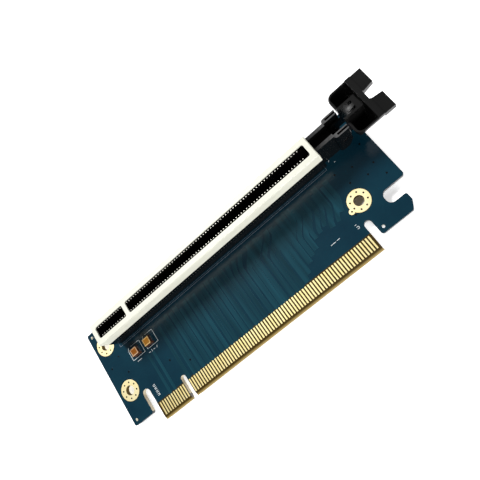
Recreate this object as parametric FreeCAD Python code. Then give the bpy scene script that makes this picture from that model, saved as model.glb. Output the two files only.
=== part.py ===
import FreeCAD, Part
import math
import os

# A riser card for a low server: a small circuit board with a gold edge connector that plugs into
# the main board, and a 16-lane card slot on its face, so that an expansion card lies flat.
# Units are millimetres.
# X runs along the gold edge, Y from the gold edge up the board, Z out of the component face.
# The origin is on the component face, where the key's centre line meets the gold edge.

# --- Circuit board
board_thickness = 1.6
board_left = -23.65
board_right = 90.05
board_top = 39.4
corner_radius = 0.8
leg_bottom = 4.3            # the leg to the left of the gold edge stops short of it
tooling_hole_radius = 0.45
tooling_hole_inset = 1.6    # from the corners' edges

# --- Gold edge connector: 82 fingers a side, 11 before the key and 71 after it
finger_pitch = 1.0
finger_width = 0.7
finger_bottom = 1.35
finger_top = 5.6
copper_thickness = 0.05
fingers_before_key = 11
fingers_after_key = 71
key_width = 1.9
key_depth = 7.9
edge_margin = 1.1           # tongue's end to the outermost finger's centre
tongue_before_key = 11.65
tongue_after_key = 71.65
bevel_length = 1.3
bevel_angle = 20.0
left_slot_width = 2.9
left_slot_depth = 12.0
right_slot_width = 2.3
right_slot_depth = 9.4

# --- Retention hook at the right of the gold edge
hook_bottom = 3.5
hook_right = 87.1
hook_top = 8.53
hook_chamfer_x = 1.6
hook_chamfer_y = 2.6
hook_tip_radius = 0.6
notch_height = 4.3
notch_end = 81.7
notch_radius = 1.8

# --- Plated mounting holes
plated_hole_radius = 1.6
barrel_wall = 0.2
ring_radius = 3.5
bracket_hole_x = -18.95
bracket_hole_y = 14.85
bracket_hole_spacing = 17.5
right_hole_x = 76.1
right_hole_y = 15.2
ring_tab_radius = 0.9
ring_tab_distance = 3.75
ring_tab_angle = 200.0

# --- Card slot: a black contact base whose walls stand up inside a pale upper shell
slot_length = 89.0
slot_width = 7.5
slot_height = 11.25
slot_from_top = 6.25        # slot's centre plane, below the board's top edge
slot_left = -13.15
slot_end_wall = 1.7
shell_bottom = 6.4
shell_rim = 1.75            # pale rim each side of the mouth
shell_lip = 0.5             # how thick the rim is over the base's walls
core_gap = 0.05             # between the base's walls and the shell around them
mouth_corner = 0.6
card_clearance = 0.2        # between a card's tongue and the slot, each end
slot_key_width = 1.5
base_wall = 0.5
core_wall = 0.6             # the base's wall beside the mouth, inside the shell
core_web = 0.6              # the ledge that carries that wall
base_floor = 2.6
shell_chamfer = 0.25

# --- Slot contacts: stamped strips whose tails stand in four staggered rows
contact_width = 0.45
contact_metal = 0.3
contact_wall_gap = 0.1       # between an outer contact's tail and the base's wall
contact_shell_gap = 0.15     # between an outer contact's blade and the shell's lower edge
contact_end_gap = 0.9        # mouth's end to the outermost contact's side, at least
tail_inner_row = 1.0
tail_below_board = 0.9
tail_hole_gap = 0.08        # between a tail and its hole, all round
wipe_height = 8.6           # where a card's fingers touch the contact
tip_height = 10.3
tip_gap = 0.4               # between a contact's tip and the mouth's side

# --- Locating posts under the slot
post_radius = 1.15
post_hole_gap = 0.05
post_below_board = 1.1
end_post_from_wall = 0.45   # last post's centre, inside the outer face of the end wall

# --- Stem and ears that carry the latch
stem_length = 6.1
stem_width = 5.2
stem_rail = 1.0
stem_height = 11.4
stem_floor = 5.5
ear_start = 5.9             # from the slot's end
ear_end = 10.6
ear_inner = 2.15
ear_thickness = 1.35
ear_floor = 2.4
ear_radius = 0.3
ear_groove_start = 7.1      # the groove along the top of the ear, open at its far end
ear_groove_inset = 0.35      # from the ear's inner face, and the rim left outside is a little more
ear_groove_width = 0.6
ear_groove_depth = 2.2
ear_heel_radius = 1.0       # at the ear's corner towards the slot
ear_undercut_height = 3.2
ear_undercut_length = 1.6

# --- Latch lever
pivot_from_slot = 8.4
pivot_height = 6.0
pin_radius = 0.9
pin_running_gap = 0.05
pin_end_gap = 0.15          # pin's end inside the ear's outer face
cheek_outer = 1.95
cheek_inner = 1.35
cheek_radius = 2.0
lever_start = 10.9
lever_bottom = 4.9
lever_top = 11.7
lever_half_width = 7.3
lever_wall = 0.5
lever_rim = 0.9              # height of the upright edge, above the leaning sides
side_lean = 2.4              # the foot stands in from the edge by this
front_lean = 1.9
cup_floor = 6.1
scoop_radius = 6.0           # the cups' floor rises to the front as a quarter round
front_corner_radius = 2.2
least_corner_radius = 0.2    # in the cups, where the wall leaves less
box_foot_height = 6.6
box_foot_length = 1.7
box_end = 16.6
box_top = 13.5
box_outer = 2.1
box_end_wall = 1.5
nose_reach = 2.3
nose_half_width = 0.55
nose_bottom = 11.95
nose_tip_height = 0.6
nose_underside_drop = 1.15  # from the tip down to the wall
bar_start = 17.55
bar_end = 19.4
bar_bottom = 8.6
bar_top = 12.1
prong_end = 22.8
prong_bottom = 9.9
prong_top = 11.7
finger_notch_start = 19.1
finger_notch_inner = 1.45
finger_notch_outer = 2.15

# --- Two tantalum chip capacitors
capacitor_length = 2.9
capacitor_width = 2.8
capacitor_height = 1.9
capacitor_draft = 0.22
capacitor_stand_off = 0.1
terminal_length = 0.35
terminal_width = 2.2
terminal_height = 1.1
terminal_thickness = 0.12
capacitor_waist = 0.45      # share of the height where the sides start to lean in
capacitor_from_slot = 9.5   # below the slot's centre plane
capacitor_left_x = -9.35
capacitor_spacing = 5.75

# --- Worked out from the above
board_back = -board_thickness
tongue_left = -key_width / 2 - tongue_before_key
tongue_right = key_width / 2 + tongue_after_key
leg_right = tongue_left - left_slot_width
hook_left = tongue_right + right_slot_width
notch_top = hook_top + notch_height
plated_drill_radius = plated_hole_radius + barrel_wall
slot_right = slot_left + slot_length
mouth_left = slot_left + slot_end_wall
mouth_right = slot_right - slot_end_wall
card_left = mouth_left + card_clearance
slot_key_x = card_left + tongue_before_key + key_width / 2
finger_x = [tongue_left + edge_margin + finger_pitch * i for i in range(fingers_before_key)]
first_after_key = tongue_right - edge_margin - finger_pitch * (fingers_after_key - 1)
finger_x += [first_after_key + finger_pitch * i for i in range(fingers_after_key)]
slot_centre_y = board_top - slot_from_top
base_cavity = slot_width / 2 - base_wall
mouth_half = slot_width / 2 - shell_rim
core_half = mouth_half + core_wall
core_top = slot_height - shell_lip - core_gap
core_bottom = shell_bottom - core_web
last_contact = mouth_right - contact_end_gap - contact_width / 2
facing_x = [x - tongue_left + card_left for x in finger_x]
contact_x = [x for x in facing_x if x <= last_contact]
tail_outer_row = base_cavity - contact_wall_gap - contact_metal / 2
blade_offset = mouth_half - contact_shell_gap - contact_metal / 2
tip_offset = mouth_half - tip_gap - contact_metal / 2
wipe_offset = (board_thickness + contact_metal) / 2
capacitor_y = slot_centre_y - capacitor_from_slot
pivot_x = slot_right + pivot_from_slot
post_x = (slot_key_x, slot_right - end_post_from_wall)
beyond = 1.0                # how far a cutting tool runs past the faces that it opens


def box(x0, x1, y0, y1, z0, z1):
    """A block between two corners."""
    return Part.makeBox(x1 - x0, y1 - y0, z1 - z0, FreeCAD.Vector(x0, y0, z0))


def plate(points, z0, z1):
    """A straight-sided outline in plan, raised from z0 to z1."""
    corners = [FreeCAD.Vector(x, y, z0) for x, y in points]
    face = Part.Face(Part.makePolygon(corners + corners[:1]))
    return face.extrude(FreeCAD.Vector(0, 0, z1 - z0))


def side_profile(points, y0, y1):
    """An outline in X and Z, drawn out from y0 to y1."""
    corners = [FreeCAD.Vector(x, y0, z) for x, z in points]
    face = Part.Face(Part.makePolygon(corners + corners[:1]))
    return face.extrude(FreeCAD.Vector(0, y1 - y0, 0))


def end_profile(points, x0, x1):
    """An outline in Y and Z, drawn out from x0 to x1."""
    corners = [FreeCAD.Vector(x0, y, z) for y, z in points]
    face = Part.Face(Part.makePolygon(corners + corners[:1]))
    return face.extrude(FreeCAD.Vector(x1 - x0, 0, 0))


def rounded_plate(corners, z0, z1):
    """An outline in plan whose corners are (x, y, radius), raised from z0 to z1."""
    count = len(corners)
    starts, arcs, ends = [], [], []
    for i, (x, y, radius) in enumerate(corners):
        here = FreeCAD.Vector(x, y, z0)
        back = (FreeCAD.Vector(*corners[i - 1][:2], z0) - here).normalize()
        ahead = (FreeCAD.Vector(*corners[(i + 1) % count][:2], z0) - here).normalize()
        half_angle = back.getAngle(ahead) / 2
        run = radius / math.tan(half_angle)
        middle = (back + ahead).normalize()
        to_arc = radius / math.sin(half_angle) - radius
        starts.append(here + back * run)
        ends.append(here + ahead * run)
        arcs.append(here + middle * to_arc if radius else None)
    edges = []
    for i in range(count):
        if arcs[i] is not None:
            edges.append(Part.Arc(starts[i], arcs[i], ends[i]).toShape())
        following = starts[(i + 1) % count]
        if (following - ends[i]).Length > 1e-6:
            edges.append(Part.LineSegment(ends[i], following).toShape())
    face = Part.Face(Part.Wire(edges))
    return face.extrude(FreeCAD.Vector(0, 0, z1 - z0))


def rod(x, y, radius, z0, z1):
    """An upright round bar."""
    return Part.makeCylinder(radius, z1 - z0, FreeCAD.Vector(x, y, z0))


def cross_rod(x, z, radius, y0, y1):
    """A round bar along Y."""
    return Part.makeCylinder(radius, y1 - y0, FreeCAD.Vector(x, y0, z), FreeCAD.Vector(0, 1, 0))


def mirrored(shape):
    """The same shape on the other side of the slot's centre plane."""
    return shape.mirror(FreeCAD.Vector(0, slot_centre_y, 0), FreeCAD.Vector(0, 1, 0))


def both_sides(shape):
    """A shape and its mirror image across the slot's centre plane."""
    return [shape, mirrored(shape)]


def fused(shapes):
    """Several shapes joined to one solid, with split faces healed."""
    return shapes[0].multiFuse(shapes[1:]).removeSplitter()


def hole_places():
    """Centres of the three plated mounting holes."""
    return {
        "lower_left": (bracket_hole_x, bracket_hole_y),
        "upper_left": (bracket_hole_x, bracket_hole_y + bracket_hole_spacing),
        "right": (right_hole_x, right_hole_y),
    }


def tail_row(index):
    """Distance of a contact's tail from the slot's centre plane: the rows alternate."""
    return tail_inner_row if index % 2 else tail_outer_row


def tail_sockets(gap, z0, z1):
    """Square prisms around all the contact tails, for the board's holes."""
    half_x = contact_width / 2 + gap
    half_y = contact_metal / 2 + gap
    sockets = []
    for index, x in enumerate(contact_x):
        for side in (-1, 1):
            y = slot_centre_y + side * tail_row(index)
            sockets.append(box(x - half_x, x + half_x, y - half_y, y + half_y, z0, z1))
    return sockets


def tail_slits(gap, z0, z1):
    """Long slits around the rows of tails, for the base's floor, either side of the key."""
    half_y = contact_metal / 2 + gap
    before = [x for x in contact_x if x < slot_key_x]
    after = [x for x in contact_x if x > slot_key_x]
    slits = []
    for group in (before, after):
        x0 = group[0] - contact_width / 2 - gap
        x1 = group[-1] + contact_width / 2 + gap
        for row in (tail_inner_row, tail_outer_row):
            for y in (slot_centre_y - row, slot_centre_y + row):
                slits.append(box(x0, x1, y - half_y, y + half_y, z0, z1))
    return slits


def board_outline():
    """Corners of the board, anticlockwise from the left leg, with their radii."""
    left_end = left_slot_width / 2
    key_end = key_width / 2
    right_end = right_slot_width / 2
    return [
        (board_left, leg_bottom, corner_radius),
        (leg_right, leg_bottom, corner_radius),
        (leg_right, left_slot_depth, left_end),
        (tongue_left, left_slot_depth, left_end),
        (tongue_left, 0, 0),
        (-key_end, 0, 0),
        (-key_end, key_depth, key_end),
        (key_end, key_depth, key_end),
        (key_end, 0, 0),
        (tongue_right, 0, 0),
        (tongue_right, right_slot_depth, right_end),
        (hook_left, right_slot_depth, right_end),
        (hook_left, hook_bottom, corner_radius),
        (hook_right - hook_chamfer_x, hook_bottom, hook_tip_radius),
        (hook_right, hook_bottom + hook_chamfer_y, hook_tip_radius),
        (hook_right, hook_top, hook_tip_radius),
        (notch_end, hook_top, notch_radius),
        (notch_end, notch_top, notch_radius),
        (board_right, notch_top, corner_radius),
        (board_right, board_top, corner_radius),
        (board_left, board_top, corner_radius),
    ]


def edge_bevel():
    """The wedge that thins the gold edge on the component face."""
    drop = bevel_length * math.tan(math.radians(bevel_angle))
    wedge = [(bevel_length, 0), (-bevel_length, -2 * drop), (-bevel_length, drop)]
    wedge += [(bevel_length, drop)]
    return end_profile(wedge, tongue_left - beyond, tongue_right + beyond)


def circuit_board():
    """The bare board with its outline, bevelled edge and holes."""
    low, high = board_back - beyond, beyond
    tools = [edge_bevel()]
    tools.append(edge_bevel().mirror(FreeCAD.Vector(0, 0, board_back / 2), FreeCAD.Vector(0, 0, 1)))
    for x, y in hole_places().values():
        tools.append(rod(x, y, plated_drill_radius, low, high))
    for x in post_x:
        tools.append(rod(x, slot_centre_y, post_radius + post_hole_gap, low, high))
    for x, y in (
        (board_left + tooling_hole_inset, leg_bottom + tooling_hole_inset),
        (board_left + tooling_hole_inset, board_top - tooling_hole_inset),
        (hook_left + tooling_hole_inset, hook_bottom + tooling_hole_inset),
    ):
        tools.append(rod(x, y, tooling_hole_radius, low, high))
    tools += tail_sockets(tail_hole_gap, low, high)
    return rounded_plate(board_outline(), board_back, 0).cut(Part.makeCompound(tools))


def edge_fingers(z0):
    """One face's gold fingers, each a thin plated pad."""
    half = finger_width / 2
    top = z0 + copper_thickness
    pads = [box(x - half, x + half, finger_bottom, finger_top, z0, top) for x in finger_x]
    return Part.makeCompound(pads)


def mounting_ring(x, y, tab_angle=None):
    """A plated hole: a copper pad on each face, joined by the barrel through the board."""
    lower = board_back - copper_thickness
    pads = []
    for z0 in (lower, 0):
        pads.append(rod(x, y, ring_radius, z0, z0 + copper_thickness))
        if tab_angle is not None:
            turn = math.radians(tab_angle)
            tab_x = x + ring_tab_distance * math.cos(turn)
            tab_y = y + ring_tab_distance * math.sin(turn)
            pads.append(rod(tab_x, tab_y, ring_tab_radius, z0, z0 + copper_thickness))
    solid = fused(pads + [rod(x, y, plated_drill_radius, lower, copper_thickness)])
    return solid.cut(rod(x, y, plated_hole_radius, lower - beyond, copper_thickness + beyond))


def strip(nodes, thickness):
    """The section of a bent strip, as points either side of its middle line."""
    left, right = [], []
    for i, (y, z) in enumerate(nodes):
        before = nodes[max(i - 1, 0)]
        after = nodes[min(i + 1, len(nodes) - 1)]
        along = FreeCAD.Vector(after[0] - before[0], after[1] - before[1], 0).normalize()
        left.append((y - along.y * thickness / 2, z + along.x * thickness / 2))
        right.append((y + along.y * thickness / 2, z - along.x * thickness / 2))
    return left + right[::-1]


def slot_contact(x, side, row):
    """One contact: a tail through the board, a leaning spring blade and a lead-in tip."""
    tail_end = board_back - tail_below_board
    nodes = [(row, tail_end), (wipe_offset, wipe_height), (tip_offset, tip_height)]
    if row == tail_outer_row:
        nodes[1:1] = [(row, base_floor), (blade_offset, core_bottom)]
    placed = [(slot_centre_y + side * y, z) for y, z in nodes]
    return end_profile(strip(placed, contact_metal), x - contact_width / 2, x + contact_width / 2)


def slot_contacts(side, row):
    """The contacts of one side whose tails stand in one row."""
    places = [x for index, x in enumerate(contact_x) if tail_row(index) == row]
    return Part.makeCompound([slot_contact(x, side, row) for x in places])


def slot_mouths(half, z0, z1):
    """The two spaces either side of the key, to a given half width."""
    low, high = slot_centre_y - half, slot_centre_y + half
    key_left = slot_key_x - slot_key_width / 2
    key_right = slot_key_x + slot_key_width / 2
    spaces = []
    for x0, x1 in ((mouth_left, key_left), (key_right, mouth_right)):
        round_corners = [(x0, low, mouth_corner), (x1, low, mouth_corner)]
        round_corners += [(x1, high, mouth_corner), (x0, high, mouth_corner)]
        spaces.append(rounded_plate(round_corners, z0, z1))
    return spaces


def core_block(gap, z0):
    """The block inside the shell that holds both mouths, with a gap around it."""
    reach = core_wall + gap
    low, high = slot_centre_y - core_half - gap, slot_centre_y + core_half + gap
    return box(mouth_left - reach, mouth_right + reach, low, high, z0, core_top + gap)


def slot_shell():
    """The pale upper shell of the slot: its walls, and the lip around the long mouth."""
    half = slot_width / 2
    low, high = slot_centre_y - half, slot_centre_y + half
    shell = box(slot_left, slot_right, low, high, shell_bottom, slot_height)
    rim = [e for e in shell.Edges if all(abs(v.Z - slot_height) < 1e-6 for v in e.Vertexes)]
    shell = shell.makeChamfer(shell_chamfer, rim)
    tools = slot_mouths(mouth_half, shell_bottom - beyond, slot_height + beyond)
    return shell.cut(Part.makeCompound(tools + [core_block(core_gap, shell_bottom - beyond)]))


def latch_ear():
    """The ear on one side of the latch, grooved along its top and undercut where the lever swings down."""
    start, end = slot_right + ear_start, slot_right + ear_end
    inner = slot_centre_y + ear_inner
    outer = inner + ear_thickness
    corners = [(start, inner - ear_thickness, 0), (end, inner - ear_thickness, 0)]
    corners += [(end, outer, ear_radius), (start, outer, ear_heel_radius)]
    ear = rounded_plate(corners, 0, stem_height)
    ear = ear.cut(box(start - beyond, end + beyond, inner - 2 * ear_thickness, inner, 0, stem_height))
    foot = [(end - ear_undercut_length, 0), (end + beyond, 0), (end + beyond, ear_undercut_height)]
    foot += [(end, ear_undercut_height)]
    ear = ear.cut(side_profile(foot, inner - beyond, outer + beyond))
    groove_side = inner + ear_groove_inset
    ear = ear.cut(box(
        slot_right + ear_groove_start, end + beyond, groove_side, groove_side + ear_groove_width,
        stem_height - ear_groove_depth, stem_height + beyond,
    ))
    hole = cross_rod(pivot_x, pivot_height, pin_radius + pin_running_gap, inner - beyond, outer + beyond)
    return ear.cut(hole)


def latch_stem():
    """The two rails and floors that run from the slot's end to the ears."""
    start = slot_right - slot_end_wall
    rail_end = slot_right + stem_length
    half = stem_width / 2
    rails = both_sides(
        box(slot_right, rail_end, slot_centre_y + half - stem_rail, slot_centre_y + half, 0, stem_height)
    )
    reach = ear_inner + ear_thickness / 2
    floor = box(start, rail_end, slot_centre_y - half, slot_centre_y + half, 0, stem_floor)
    ear_base = box(
        slot_right + ear_start, slot_right + ear_end - ear_undercut_length,
        slot_centre_y - reach, slot_centre_y + reach, 0, ear_floor,
    )
    return rails + [floor, ear_base] + both_sides(latch_ear())


def slot_base():
    """The black contact base of the slot, in one piece with the latch's stem, ears and posts.

    Its tray is hollow under a ledge, and the walls of the mouth stand on the ledge inside the shell.
    """
    half = slot_width / 2
    tray = box(slot_left, slot_right, slot_centre_y - half, slot_centre_y + half, 0, shell_bottom)
    posts = [rod(x, slot_centre_y, post_radius, board_back - post_below_board, base_floor) for x in post_x]
    solid = fused([tray, core_block(0, core_bottom)] + latch_stem() + posts)
    tools = slot_mouths(base_cavity, base_floor, core_bottom)
    tools += slot_mouths(mouth_half, base_floor, core_top + beyond)
    tools += tail_slits(tail_hole_gap, -beyond, base_floor + beyond)
    return solid.cut(Part.makeCompound(tools))


def lever_outline(inset):
    """The lever's plan as far as its cross bar, drawn inwards by an inset, with rounded front corners."""
    front, back = slot_right + lever_start + inset, slot_right + bar_end
    low, high = slot_centre_y - lever_half_width + inset, slot_centre_y + lever_half_width - inset
    radius = max(front_corner_radius - inset, least_corner_radius)
    return [(front, low, radius), (back, low, 0), (back, high, 0), (front, high, radius)]


def lever_sides(inset):
    """What lies outside the lever's leaning sides, moved inwards by an inset."""
    rim = slot_centre_y + lever_half_width - inset
    rim_height = lever_top - lever_rim
    wedge = [(rim, rim_height), (rim - side_lean, lever_bottom), (rim - side_lean, lever_bottom - beyond)]
    wedge += [(rim + side_lean, lever_bottom - beyond), (rim + side_lean, rim_height)]
    start, stop = slot_right + lever_start - beyond, slot_right + prong_end + beyond
    return both_sides(end_profile(wedge, start, stop))


def lever_cups():
    """The scoops either side of the lever's middle box, deepest at the cross bar."""
    bar = slot_right + bar_start
    low, high = slot_centre_y - lever_half_width, slot_centre_y + lever_half_width
    scoop = cross_rod(bar, cup_floor + scoop_radius, scoop_radius, low, high)
    limit = box(slot_right, bar, low, high, cup_floor - beyond, lever_top + beyond)
    middle = box(
        slot_right, slot_right + box_end, slot_centre_y - box_outer, slot_centre_y + box_outer,
        cup_floor - 2 * beyond, lever_top + 2 * beyond,
    )
    cups = rounded_plate(lever_outline(lever_wall), cup_floor - beyond, lever_top + beyond)
    cups = cups.common(scoop).common(limit)
    return cups.cut(Part.makeCompound(lever_sides(lever_wall) + [middle]))


def lever_paddle():
    """The wide outer end of the lever: two scoops, a cross bar and two prongs."""
    front = slot_right + lever_start
    low, high = slot_centre_y - lever_half_width, slot_centre_y + lever_half_width
    bar, tail = slot_right + bar_start, slot_right + bar_end
    foot = [(front - beyond, lever_bottom - beyond), (front + front_lean, lever_bottom - beyond)]
    foot += [(front + front_lean, lever_bottom), (front, lever_top - lever_rim)]
    foot += [(front - beyond, lever_top - lever_rim)]
    heel = [(bar, lever_bottom - beyond), (bar, lever_bottom), (tail, bar_bottom)]
    heel += [(tail + beyond, bar_bottom), (tail + beyond, lever_bottom - beyond)]
    under = [side_profile(points, low - beyond, high + beyond) for points in (foot, heel)]
    body = rounded_plate(lever_outline(0), lever_bottom, lever_top)
    body = fused([body, box(bar, tail, low, high, bar_bottom, bar_top)])
    body = body.cut(Part.makeCompound(under)).cut(Part.makeCompound(lever_sides(0))).cut(lever_cups())
    prongs = box(tail, slot_right + prong_end, low, high, prong_bottom, prong_top)
    start = slot_right + finger_notch_start
    stop = slot_right + prong_end + beyond
    notch = [(start, slot_centre_y - finger_notch_inner), (stop, slot_centre_y - finger_notch_outer)]
    notch += [(stop, slot_centre_y + finger_notch_outer), (start, slot_centre_y + finger_notch_inner)]
    return fused([body, prongs]).cut(plate(notch, lever_bottom - beyond, bar_top + beyond))


def lever_cheek():
    """The arm on one side that runs from the middle box to the pivot, with its pin."""
    inner, outer = slot_centre_y + cheek_inner, slot_centre_y + cheek_outer
    eye = cross_rod(pivot_x, pivot_height, cheek_radius, inner, outer)
    arm = box(
        pivot_x, slot_right + box_end - box_end_wall, inner, outer,
        pivot_height - cheek_radius, pivot_height + cheek_radius,
    )
    pin_end = slot_centre_y + ear_inner + ear_thickness - pin_end_gap
    return [eye, arm, cross_rod(pivot_x, pivot_height, pin_radius, inner, pin_end)]


def lever_box():
    """The open-fronted box in the lever's middle, with the nose that holds a card's hook."""
    front, end = slot_right + lever_start, slot_right + box_end
    wall = end - box_end_wall
    foot = front + box_foot_length
    side = [(foot, lever_bottom), (end, lever_bottom), (end, box_top), (front, box_top)]
    side += [(front, box_foot_height)]
    sides = both_sides(side_profile(side, slot_centre_y + cheek_inner, slot_centre_y + box_outer))
    back = box(wall, end, slot_centre_y - box_outer, slot_centre_y + box_outer, lever_bottom, box_top)
    tip = wall - nose_reach
    hook = [(wall, nose_bottom - nose_underside_drop), (tip, nose_bottom)]
    hook += [(tip, nose_bottom + nose_tip_height), (wall, box_top)]
    nose = side_profile(hook, slot_centre_y - nose_half_width, slot_centre_y + nose_half_width)
    return sides + [back], nose


def latch_lever():
    """The retention latch, moulded in one piece with its pivot pins."""
    walls, nose = lever_box()
    shaft = box(
        slot_right, slot_right + box_end - box_end_wall, slot_centre_y - cheek_inner,
        slot_centre_y + cheek_inner, lever_bottom - beyond, box_top + beyond,
    )
    pieces = [lever_paddle()] + walls
    for part in lever_cheek():
        pieces += both_sides(part)
    return fused([fused(pieces).cut(shaft), nose])


def capacitor_body(x):
    """A moulded body with drafted sides."""
    def level(inset, z):
        half_x = capacitor_length / 2 - inset
        half_y = capacitor_width / 2 - inset
        return Part.makePolygon([
            FreeCAD.Vector(x + sx * half_x, capacitor_y + sy * half_y, z)
            for sx, sy in ((-1, -1), (1, -1), (1, 1), (-1, 1), (-1, -1))
        ])
    waist = capacitor_height * capacitor_waist
    stages = [level(0, capacitor_stand_off), level(0, waist), level(capacitor_draft, capacitor_height)]
    lower = Part.makeLoft(stages[:2], True, True)
    upper = Part.makeLoft(stages[1:], True, True)
    return fused([lower, upper])


def capacitor_terminals(x):
    """The two bent tabs, each flat on the board and turned up against the body's end."""
    tabs = []
    for side in (-1, 1):
        face = x + side * capacitor_length / 2
        outer = face + side * terminal_thickness
        under = face - side * terminal_length
        section = [(under, 0), (outer, 0), (outer, terminal_height), (face, terminal_height)]
        section += [(face, capacitor_stand_off), (under, capacitor_stand_off)]
        low, high = capacitor_y - terminal_width / 2, capacitor_y + terminal_width / 2
        tabs.append(side_profile(section, low, high))
    return Part.makeCompound(tabs)


def save(node, shape):
    """Check a node's solids and write them."""
    if not shape.isValid():
        raise ValueError(node + " is not a valid shape")
    for solid in shape.Solids:
        if solid.Volume <= 0:
            raise ValueError(node + " holds an empty solid")
    shape.exportStep("parts/" + node + ".step")
    print(node, len(shape.Solids), "solids,", round(shape.Volume, 2), "mm3")


def main():
    os.makedirs("parts", exist_ok=True)
    save("circuit_board", circuit_board())
    save("edge_fingers_front", edge_fingers(0))
    save("edge_fingers_back", edge_fingers(board_back - copper_thickness))
    for name, (x, y) in hole_places().items():
        save("mounting_ring_" + name, mounting_ring(x, y, ring_tab_angle if name == "right" else None))
    save("slot_base", slot_base())
    save("slot_shell", slot_shell())
    for name, side in (("lower", -1), ("upper", 1)):
        save("contacts_" + name + "_inner_row", slot_contacts(side, tail_inner_row))
        save("contacts_" + name + "_outer_row", slot_contacts(side, tail_outer_row))
    save("latch_lever", latch_lever())
    for name, x in (("left", capacitor_left_x), ("right", capacitor_left_x + capacitor_spacing)):
        save("capacitor_" + name + "_body", capacitor_body(x))
        save("capacitor_" + name + "_terminals", capacitor_terminals(x))


main()
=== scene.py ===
# %% [markdown]
# # A riser card for a low server
# The real thing is a small circuit board with a gold edge that plugs into the main board, and a long
# card slot on its face with a latch at the end. The solids come packed, in metres, with the gold
# edge along X, the board rising along Y, and the component face looking along +Z. This lesson keeps
# those solids where they are, and adds what makes them look real: copper tracks under the mask,
# white ink, solder, softened plastic edges, and a finish for every piece.

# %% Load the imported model
import math

import bmesh
import bpy
from mathutils import Matrix, Vector


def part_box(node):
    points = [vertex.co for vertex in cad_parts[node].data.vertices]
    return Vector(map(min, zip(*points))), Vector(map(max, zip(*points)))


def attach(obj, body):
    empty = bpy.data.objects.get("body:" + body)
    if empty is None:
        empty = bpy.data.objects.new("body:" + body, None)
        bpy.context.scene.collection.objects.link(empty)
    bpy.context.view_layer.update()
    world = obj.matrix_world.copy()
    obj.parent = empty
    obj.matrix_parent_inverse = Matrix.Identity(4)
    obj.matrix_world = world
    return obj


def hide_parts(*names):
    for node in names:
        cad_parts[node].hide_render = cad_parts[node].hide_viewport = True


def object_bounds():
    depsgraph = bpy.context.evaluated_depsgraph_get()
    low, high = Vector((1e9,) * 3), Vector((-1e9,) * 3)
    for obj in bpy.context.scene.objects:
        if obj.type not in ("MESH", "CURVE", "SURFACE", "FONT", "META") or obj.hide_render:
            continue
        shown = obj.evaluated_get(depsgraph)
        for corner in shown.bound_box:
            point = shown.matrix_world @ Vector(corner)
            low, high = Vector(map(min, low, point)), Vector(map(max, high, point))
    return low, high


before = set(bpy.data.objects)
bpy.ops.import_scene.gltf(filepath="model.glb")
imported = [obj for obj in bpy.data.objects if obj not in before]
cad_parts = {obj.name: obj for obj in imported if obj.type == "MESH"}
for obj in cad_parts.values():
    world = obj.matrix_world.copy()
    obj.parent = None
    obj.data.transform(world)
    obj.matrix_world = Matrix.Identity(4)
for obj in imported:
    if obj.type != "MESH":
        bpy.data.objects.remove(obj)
cad_low, cad_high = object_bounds()
MM = 0.001
box_mm = [round((high - low) / MM, 2) for low, high in zip(cad_low, cad_high)]
print("nodes:", len(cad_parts), "box in mm:", box_mm)

# %% [markdown]
# ## Sizes to work from
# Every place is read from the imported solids' boxes, so nothing has to be fitted by eye. The contact
# pitch is the one number that the whole card shares: fingers, contacts, tracks and solder all
# stand one millimetre apart.

# %% Places read from the solids
board_low, board_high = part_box("circuit_board")
fingers_low, fingers_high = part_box("edge_fingers_front")
outer_low, outer_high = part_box("contacts_lower_outer_row")
shell_low, shell_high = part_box("slot_shell")
base_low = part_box("slot_base")[0]

PITCH = 1.0 * MM
BEFORE_KEY = 11
FINGERS = 82
CONTACT_WIDTH = 0.45 * MM
FINGER_WIDTH = 0.7 * MM
SIDES = (("lower", -1), ("upper", 1))
slot_y = (shell_low.y + shell_high.y) / 2
contact_start = outer_low.x + CONTACT_WIDTH / 2
contact_gap = outer_high.x - CONTACT_WIDTH / 2 - contact_start - (FINGERS - 1) * PITCH
finger_start = fingers_low.x + FINGER_WIDTH / 2
finger_gap = fingers_high.x - FINGER_WIDTH / 2 - finger_start - (FINGERS - 1) * PITCH
face_z = board_high.z
back_z = board_low.z
print("contacts start", round(contact_start / MM, 3), "key gap", round(contact_gap / MM, 3))
print("fingers start", round(finger_start / MM, 3), "key gap", round(finger_gap / MM, 3))

# %% [markdown]
# ## Two tools
# Colours are written the way a paint chart gives them, as sRGB hex, and one function turns them to
# the linear light that Blender mixes in. One other function adds a node to any tree, sets it and
# joins it up, so that each finish below reads as a short list. The commonest kinds of node have short
# names.

# %% Colour and node helpers
MATH = "ShaderNodeMath"
RANGE = "ShaderNodeMapRange"
SPLIT = "ShaderNodeSeparateXYZ"
VECTOR = "ShaderNodeVectorMath"
COMBINE = "ShaderNodeCombineXYZ"
MIX = ("ShaderNodeMix", {"data_type": "RGBA"})


def linear(code):
    """An sRGB hex colour as the linear RGBA that a shader wants."""
    parts = [int(code[i:i + 2], 16) / 255 for i in (1, 3, 5)]
    return tuple(p / 12.92 if p <= 0.04045 else ((p + 0.055) / 1.055) ** 2.4 for p in parts) + (1.0,)


def join(tree, value, socket):
    """Give a socket a fixed value or a hex colour, or join another node or its socket to it."""
    if isinstance(value, str):
        value = linear(value)
    if isinstance(value, bpy.types.Node):
        value = next(output for output in value.outputs if output.enabled)
    if isinstance(value, bpy.types.NodeSocket):
        tree.links.new(value, socket)
    else:
        socket.default_value = value


def add(tree, kind, settings=None, inputs=None):
    """Add a node, change its settings, or its operation if that is all, and join its inputs up."""
    made = tree.nodes.new(kind)
    if isinstance(settings, str):
        settings = {"operation": settings}
    for key, value in (settings or {}).items():
        setattr(made, key, value)
    for key, value in (inputs or {}).items():
        join(tree, value, made.inputs[key])
    return made


print("colour and node helpers ready")

# %% [markdown]
# A finish is one Principled shader with patterns joined to it. Every pattern reads the place on the
# object in millimetres, so its scale is a real size.

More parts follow.
